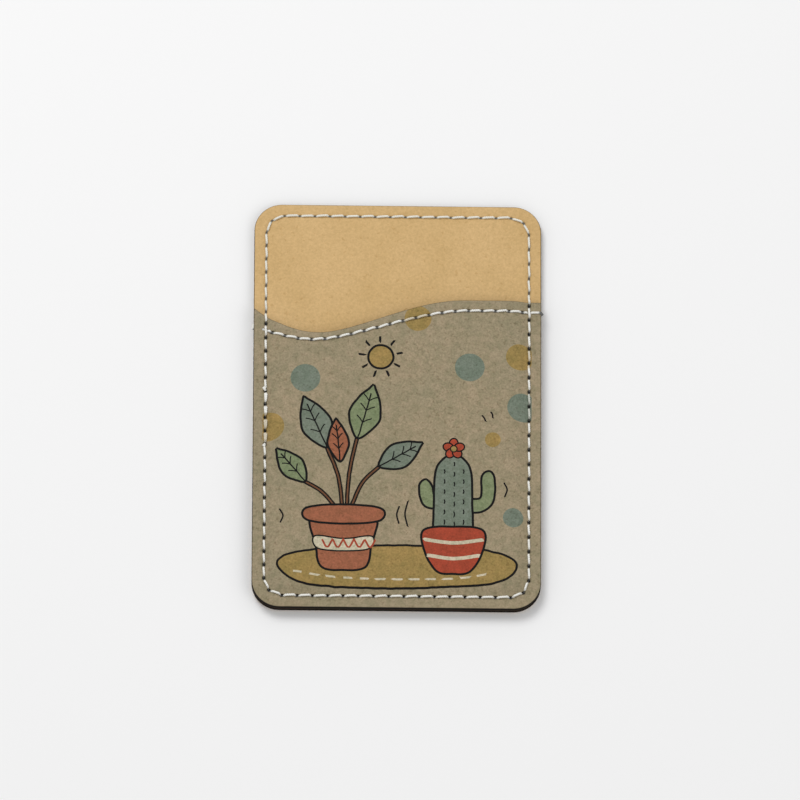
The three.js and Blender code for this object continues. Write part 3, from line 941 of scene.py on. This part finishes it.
def tan_leather():
    """Smooth tan artificial leather with a fine grain and a dark cut edge, partly painted shade."""
    recipe = Recipe("tan_leather")
    fine = recipe.noise(0.5, 3, 0.6)
    cloud = recipe.noise(12, 3, 0.55)
    speck = recipe.noise(0.9, 2, 0.6, 0.4, 0.5)
    colour = recipe.tint(
        recipe.attribute("ink_and_shade", "Color"),
        (cloud, 0.35, 0.65, (0.96, 0.95, 0.92), (1.04, 1.04, 1.07)),
        (fine, 0.3, 0.7, (0.90, 0.89, 0.85), (1.10, 1.10, 1.14)),
        (speck, 0.3, 0.38, (0.88, 0.84, 0.76), (1.0, 1.0, 1.0)),
    )
    colour = recipe.cut_edge_and_shade(colour, 0.6, 2.1)
    normal = recipe.bump(fine, 0.06, 0.45)
    return recipe.finish(
        Base_Color=colour, Roughness=recipe.spread(fine, 0.2, 0.8, 0.6, 0.78), Normal=normal,
        Specular_IOR_Level=recipe.dull_cut(0.35),
    )


def sewing_thread():
    """Off-white twisted polyester, tinted where the print crosses it and darkened by painted shade where
    it goes into its holes.
    """
    recipe = Recipe("sewing_thread")
    strand = recipe.noise(0.16, 2, 0.5)
    ink_and_shade = recipe.attribute("ink_and_shade", "Color")
    colour = recipe.tint(ink_and_shade, (strand, 0.3, 0.7, (0.90, 0.895, 0.88), (1.03, 1.03, 1.03)))
    normal = recipe.bump(strand, 0.03, 0.5)
    return recipe.finish(
        Base_Color=colour, Roughness=0.55, Normal=normal, Specular_IOR_Level=0.4,
        Sheen_Weight=0.15, Sheen_Roughness=0.4,
    )


def adhesive_pad():
    """Milky acrylic adhesive with a fine crosshatch left by its liner."""
    recipe = Recipe("adhesive_pad")
    split = recipe.add("ShaderNodeSeparateXYZ")
    recipe.feed(split.inputs[0], recipe.place)
    rules = []
    for turn in (1.0, -1.0):
        lean = recipe.math("MULTIPLY_ADD", split.outputs["Y"], turn, split.outputs["X"])
        wave = recipe.math("SINE", recipe.math("MULTIPLY", lean, 2 * math.pi / (1.5 * MM)))
        rules.append(recipe.math("POWER", recipe.math("ABSOLUTE", wave), 0.35))
    hatch = recipe.math("MULTIPLY", *rules)
    cloud = recipe.noise(7, 4, 0.6)
    speck = recipe.noise(0.8, 2, 0.5)
    colour = recipe.mix(recipe.spread(cloud, 0.35, 0.65), (0.74, 0.73, 0.69), (0.82, 0.81, 0.78))
    colour = recipe.mix(recipe.spread(hatch, 0.2, 0.9, 0.25, 0.0), colour, (0.60, 0.59, 0.56))
    height = recipe.math("ADD", hatch, recipe.math("MULTIPLY", speck, 0.4))
    return recipe.finish(
        Base_Color=colour, Roughness=recipe.spread(speck, 0.3, 0.7, 0.28, 0.42),
        Normal=recipe.bump(height, 0.04, 0.6), Specular_IOR_Level=0.5,
    )


# Sheets

def near_seams(outline, tracks, reach, holes):
    """Closer points in a band each side of the seams, where the leather gives."""
    grid = scatter(outline, SEAM_GRID_STEP, SEAM_GRID_MARGIN, holes)
    close = np.zeros(len(grid), bool)
    for track in tracks:
        close |= distance_to_line(grid, track.resampled(0.6)) < reach
    return grid[close]


def edge_rings(outline):
    return np.vstack([inward_offset(outline, inset) for inset in EDGE_RINGS])


def leather_points(outline, grown_holes, tracks, reach, step):
    """Points for a sheet's triangles: rings round its edge and holes, close ones by its seams."""
    wide = grown_holes(HOLE_CLEARANCE)
    return np.vstack([
        edge_rings(outline),
        np.vstack(grown_holes(HOLE_RING)),
        near_seams(outline, tracks, reach, wide),
        scatter(outline, step, GRID_MARGIN, wide),
    ])


def make_back_panel(material):
    outline = Track(rounded_outline(0, CORNER_RADIUS), closed=True).resampled(OUTLINE_STEP)[:-1]

    def seam_holes(grow=0.0):
        bare = awl_holes(edge_seam, panel_stops, grow, CLOSED_HOLE)
        return awl_holes(edge_seam, pocket_stops, grow) + bare

    def top(points):
        return PANEL_TOP - pucker(points, edge_seam, edge_stops) * above_mouth(points)

    def bottom(points):
        return PANEL_BOTTOM + 0.7 * pucker(points, edge_seam, edge_stops)

    def above_mouth(points):
        return smooth(points[:, 1] - mouth_edge.height_at(points[:, 0]), 0.1, 0.9)

    free = leather_points(outline, seam_holes, [edge_seam], reach=1.4, step=1.3)
    cut_sheet(
        "tan_back_panel", outline, seam_holes(), free, top, bottom,
        material, "back_panel", TAN, Design(),
    )


def make_front_pocket(material, design):
    edge_points = mouth_edge.resampled(step=0.3)[::-1]
    lower = np.vstack([
        [edge_points[-1]],
        corner_arc(-1, -1, 180, 0, CORNER_RADIUS),
        corner_arc(1, -1, 270, 0, CORNER_RADIUS),
        [edge_points[0]],
    ])
    lower = Track(lower).resampled(OUTLINE_STEP)
    outline = np.vstack([lower, edge_points[1:-1]])

    def both_seams(grow=0.0):
        return awl_holes(edge_seam, pocket_stops, grow) + awl_holes(mouth_seam, mouth_stops, grow)

    def dents(points):
        gap = nearest(points, mouth_seam.point(mouth_crossings))
        return DENT_DEPTH * np.exp(-((gap / GROOVE_WIDTH) ** 2))

    def top(points):
        give = np.maximum(pucker(points, edge_seam, pocket_stops), pucker(points, mouth_seam, mouth_stops))
        rise = pouch_rise(points)
        return POCKET_TOP + rise * (1 + swell(points) / CARD_ROOM) - give - dents(points)

    def bottom(points):
        return POCKET_BOTTOM + pouch_rise(points)

    free = leather_points(outline, both_seams, [edge_seam, mouth_seam], reach=1.5, step=0.9)
    cut_sheet(
        "printed_front_pocket", outline, both_seams(), free, top, bottom,
        material, "front_pocket", GREY_BEIGE, design,
    )


def make_adhesive(material):
    inset = HALF_WIDTH - ADHESIVE_HIGH[0]
    outline = Track(rounded_outline(inset, CORNER_RADIUS - inset), closed=True).resampled(step=0.5)[:-1]
    free = np.vstack([edge_rings(outline), scatter(outline, step=2.0, margin=0.8, keep_off=[])])

    def level(height):
        return lambda points: np.full(len(points), height)

    cut_sheet(
        "adhesive_pad", outline, [], free, level(ADHESIVE_HIGH[2]), level(ADHESIVE_LOW[2]),
        material, "adhesive_sheet", ADHESIVE_WHITE, Design(),
    )


# Threads

PLIES = 3
PLY_SIDES = 6
TWIST_PITCH = 1.35
FINE_STEP = 0.08
LONG_STEP = 0.2
DIVE_START = 0.82
DIVE_END = 0.1
SIDE_PULL = 0.32
ARCH = (0.02, 0.07)
LEAN_SHARE = (0.6, 1.5)
WANDER = 0.04
NEEDLE_SEAT = 0.8
BOBBIN_SEAT = 0.9
SECOND_LIFT = 0.22
SECOND_LIFT_BEHIND = -0.1
SECOND_ASIDE = 0.45
STEP_DOWN = (0.2, 1.0)
PLY_OFFSET = 0.24
PLY_RADIUS = 0.27
PRINT_WASH = 0.4
WASH_LIGHT = 1.5
# Painted shade on a thread down in its holes: how much darker, and over which part of its dive
HOLE_PAINTED_SHADE = 0.85
HOLE_SHADE = (0.2, 0.9)
END_BEND = 0.14
FRAYED_LENGTH = 0.9
FRAYED_DARKNESS = 0.8


def stitches(track, stops, bed, lock, slant, lift=0.0, aside=0.0):
    """Rows of x, y, z and sunk for a thread that runs straight from hole to hole and dips into each.

    It lies on its bed between the holes and reaches its lock height in them. Sunk is 1 in a hole, and it
    sets the thread's painted shade.
    Down the sides it is pulled in over more of its length.
    """
    rows = []
    for start, end in zip(stops, stops[1:]):
        here, there = track.point(start), track.point(end)
        length = np.linalg.norm(there - here)
        way = unit(there - here)
        reach = DIVE_START * (1 + SIDE_PULL * abs(way[1]))
        dive = np.arange(0, reach, FINE_STEP)
        flat = np.arange(reach, length - reach, LONG_STEP)
        run = np.concatenate([dive, flat, length - dive[::-1]])[:-1]
        share = run / length
        up = smooth(np.minimum(run, length - run), DIVE_END, reach)
        along = start + (end - start) * share
        arch = rng.uniform(*ARCH) * np.sin(math.pi * share)
        locked = np.where(share < 0.5, lock(start), lock(end))
        height = locked + (bed(along) + lift + arch - locked) * up
        lean = slant * rng.uniform(*LEAN_SHARE)
        off = ((2 * share - 1) * lean + rng.uniform(-WANDER, WANDER) + aside) * up
        place = here + run[:, None] * way + off[:, None] * leftward(way)
        rows.append(np.column_stack([place, height, 1 - up]))
    last = track.point(stops[-1])
    rows.append(np.array([[last[0], last[1], lock(stops[-1]), 1.0]]))
    return np.vstack(rows)


def swept(centre, radius, flat, upward, sides):
    """Rings of points round a line of centres, and the faces between them."""
    turn = 2 * math.pi * np.arange(sides) / sides
    ring = (centre[:, None] + radius * (np.cos(turn)[None, :, None] * flat[:, None]
                                        + np.sin(turn)[None, :, None] * upward[:, None]))
    index = np.arange(len(centre) * sides).reshape(-1, sides)
    ahead = np.roll(index, -1, axis=1)
    quads = np.stack([index[:-1], ahead[:-1], ahead[1:], index[1:]], axis=-1).reshape(-1, 4)
    return ring.reshape(-1, 3), quads.tolist() + [index[0][::-1].tolist(), index[-1].tolist()]


def add_thread(name, replaced, material, thickness, routes, design):
    """A thread of twisted plies along each route, given as rows of x, y, z and sunk; sunk also sets
    painted shade in its holes.
    """
    points, faces, colours, total = [], [], [], 0
    for route in routes:
        line = route[:, :3]
        way = unit(np.gradient(line, axis=0))
        flat = unit(np.column_stack([leftward(way), np.zeros(len(way))]))
        upward = np.cross(way, flat)
        run = np.concatenate([[0], np.cumsum(np.linalg.norm(np.diff(line, axis=0), axis=1))])
        colour = thread_colours(route, design)
        for ply in range(PLIES):
            angle = 2 * math.pi * (run / TWIST_PITCH + ply / PLIES)[:, None]
            centre = line + PLY_OFFSET * thickness * (np.cos(angle) * flat + np.sin(angle) * upward)
            ring, mesh = swept(centre, PLY_RADIUS * thickness, flat, upward, PLY_SIDES)
            points.append(ring)
            faces.extend([corner + total for corner in face] for face in mesh)
            colours.append(np.repeat(colour, PLY_SIDES, axis=0))
            total += len(ring)
    colours = np.vstack(colours)[np.concatenate(faces)]
    add_piece(name, np.vstack(points), faces, material, replaced, colours)


def on_pocket(along):
    """1 where the seam round the holder lies on the pocket, falling to 0 just past its edge."""
    place = np.mod(np.asarray(along, float) - pocket_from, edge_seam.length)
    span = pocket_to - pocket_from
    past = np.where(place > span, np.minimum(place - span, edge_seam.length - place), 0)
    return 1 - smooth(past, *STEP_DOWN)


def thread_colours(route, design):
    """A thread's colours along a route: washed by any print it crosses, with painted shade down in its
    holes.
    """
    places = route[:, :2]
    colours = np.tile(opaque(THREAD_WHITE), (len(route), 1))
    if design.layers:
        over = design.colours(places, THREAD_WHITE)[:, :3]
        printed = (places[:, 1] < mouth_edge.height_at(places[:, 0]))[:, None]
        colours[:, :3] += PRINT_WASH * printed * (np.minimum(over * WASH_LIGHT, 1) - colours[:, :3])
    # Painted shade where the thread goes down into its holes; the same column also darkens its cut ends
    colours[:, :3] *= 1 - HOLE_PAINTED_SHADE * smooth(route[:, 3:], *HOLE_SHADE)
    return colours


def loose_end(start, reach, count, spread, dark=0.0):
    """Rows for a few fibres that fan out from where a thread was cut."""
    share = np.linspace(0, 1, num=7)[:, None]
    reach = np.array(reach)
    aside = np.array([-reach[1], reach[0], 0.0]) / np.hypot(*reach[:2])
    bend = np.array([0, 0, END_BEND]) * np.sin(math.pi * share)
    routes = []
    for fan in np.linspace(-spread, spread, count):
        line = np.array(start) + share * (reach + fan * aside) + bend
        routes.append(np.column_stack([line, np.full(len(line), dark)]))
    return routes


def edge_threads(material, design):
    """The two threads round the holder. The last few stitches are sewn twice, to lock the seam."""
    order = np.roll(edge_stops, -first_hole)
    once = np.where(order < order[0] - TINY, order + edge_seam.length, order)
    again = once[:OVERSEWN_STITCHES + 1] + edge_seam.length

    def lock(along):
        return POCKET_BOTTOM if on_pocket(along) > 0.99 else PANEL_MIDDLE

    def wound(bed, off_lock, slant, thickness, lift):
        closing = np.concatenate([once, again[:1]])
        first = stitches(edge_seam, closing, bed, lambda a: lock(a) + off_lock, slant)
        second = stitches(edge_seam, again, bed, lambda a: lock(a) + off_lock, -slant,
                          lift * thickness, SECOND_ASIDE * thickness)
        return [np.vstack([first[:-1], second])]

    needle, bobbin = NEEDLE_THREAD / 2, BOBBIN_THREAD / 2

    def in_front(along):
        return PANEL_TOP + (POCKET_TOP - PANEL_TOP) * on_pocket(along) + NEEDLE_SEAT * needle

    def behind(along):
        return np.full(len(along), PANEL_BOTTOM - BOBBIN_SEAT * bobbin)

    routes = wound(in_front, needle, STITCH_SLANT, NEEDLE_THREAD, SECOND_LIFT)
    # The cut ends at the start and finish of the seam are drawn slightly darker, as painted shade
    for stop, way in ((once[0], (-0.35, 0.75, 0.12)), (again[-1], (-0.3, -0.6, 0.2))):
        place = edge_seam.point(stop)
        start = (place[0], place[1], POCKET_TOP - 0.1)
        routes += loose_end(start, way, count=2, spread=0.12, dark=0.3)
    add_thread("edge_stitches", "edge_seam_needle_thread", material, NEEDLE_THREAD, routes, design)
    routes = wound(behind, -bobbin, -STITCH_SLANT, BOBBIN_THREAD, SECOND_LIFT_BEHIND)
    add_thread("edge_stitches_behind", "edge_seam_bobbin_thread", material, BOBBIN_THREAD,
               routes, Design())


def mouth_threads(material, design):
    """The two threads along the mouth. They end at the side edges, with cut and frayed ends."""
    needle, bobbin = NEEDLE_THREAD / 2, BOBBIN_THREAD / 2
    middle = (POCKET_BOTTOM + POCKET_TOP) / 2

    def rise(along):
        return pouch_rise(mouth_seam.point(np.atleast_1d(along))).reshape(np.shape(along))

    def dent(along):
        gap = np.min([np.abs(along - crossing) for crossing in mouth_crossings], axis=0)
        return CROSSING_DEPTH * (1 - smooth(gap, 0.2, CROSSING_LENGTH / 2))

    def on_top(along):
        return POCKET_TOP + rise(along) + NEEDLE_SEAT * needle - dent(along)

    def under(along):
        return np.maximum(POCKET_BOTTOM + rise(along) - BOBBIN_SEAT * bobbin, POCKET_BOTTOM + bobbin)

    def sewn(bed, off_lock, slant):
        """From a hole near the left edge, along the mouth and on to the right edge."""
        stops = np.concatenate([[LEFT_TAIL_HOLE], mouth_stops])
        row = stitches(mouth_seam, stops, bed, lambda a: middle + rise(a) + off_lock, slant)
        along = np.linspace(mouth_stops[-1], mouth_seam.length - 0.1, num=44)
        up = smooth(along - mouth_stops[-1], DIVE_END, DIVE_START)
        lock = row[-1, 2]
        height = lock + (bed(along) - lock) * up
        frayed = smooth(along, along[-1] - FRAYED_LENGTH, along[-1])
        # Painted shade in the last hole, and darker over the last stretch to the cut end
        sunk = np.maximum(1 - up, FRAYED_DARKNESS * frayed)
        return np.vstack([row[:-1], np.column_stack([mouth_seam.point(along), height, sunk])])

    routes = [sewn(on_top, needle, STITCH_SLANT)]
    left_edge = mouth_seam.point(0.0)
    left_end = (left_edge[0] + 0.3, left_edge[1], POCKET_BOTTOM + 0.1)
    right_end = routes[0][-1][:3]
    routes += loose_end(left_end, (-0.62, 0, -0.1), count=3, spread=0.6)
    routes += loose_end(right_end, (0.3, -0.45, -0.35), count=2, spread=0.12, dark=0.85)
    add_thread("mouth_stitches", "mouth_seam_needle_thread", material, NEEDLE_THREAD, routes, design)
    add_thread("mouth_stitches_inside", "mouth_seam_bobbin_thread", material, BOBBIN_THREAD,
               [sewn(under, -bobbin, -STITCH_SLANT)], Design())


# Stage

def add_light(name, place, size, power):
    """A round lamp that shines at the holder."""
    data = bpy.data.lights.new(name, "AREA")
    data.shape = "DISK"
    data.size = size
    data.energy = power
    lamp = placed(name, data)
    lamp.location = place
    lamp.rotation_euler = Vector(place).to_track_quat("Z", "Y").to_euler()


FLOOR_TONE = 0.93
FLOOR_HALF = 3.0
FLOOR_GAP = 0.00005
ROOM_LIGHT = 0.56


def make_stage():
    mesh = bpy.data.meshes.new("floor")
    corners = [(-1, -1), (1, -1), (1, 1), (-1, 1)]
    mesh.from_pydata([(x * FLOOR_HALF, y * FLOOR_HALF, 0) for x, y in corners], [], [range(4)])
    floor = placed("floor", mesh)
    floor.location.z = -FLOOR_GAP
    paper = Recipe("floor").finish(
        Base_Color=(FLOOR_TONE, FLOOR_TONE, FLOOR_TONE), Roughness=0.9, Specular_IOR_Level=0.1,
    )
    mesh.materials.append(paper)
    world = bpy.data.worlds.new("studio")
    world.use_nodes = True
    background = world.node_tree.nodes["Background"]
    background.inputs["Color"].default_value = (1, 1, 1, 1)
    background.inputs["Strength"].default_value = ROOM_LIGHT
    bpy.context.scene.world = world
    add_light("key", (-0.35, 0.55, 0.9), 0.6, 5.3)
    add_light("fill", (0.7, -0.5, 0.8), 0.8, 1.8)


bpy.context.scene.view_settings.view_transform = "Standard"
look()
make_stage()
design = make_design()
make_adhesive(adhesive_pad())
make_back_panel(tan_leather())
make_front_pocket(suede_leather(), design)
thread_material = sewing_thread()
edge_threads(thread_material, design)
mouth_threads(thread_material, design)
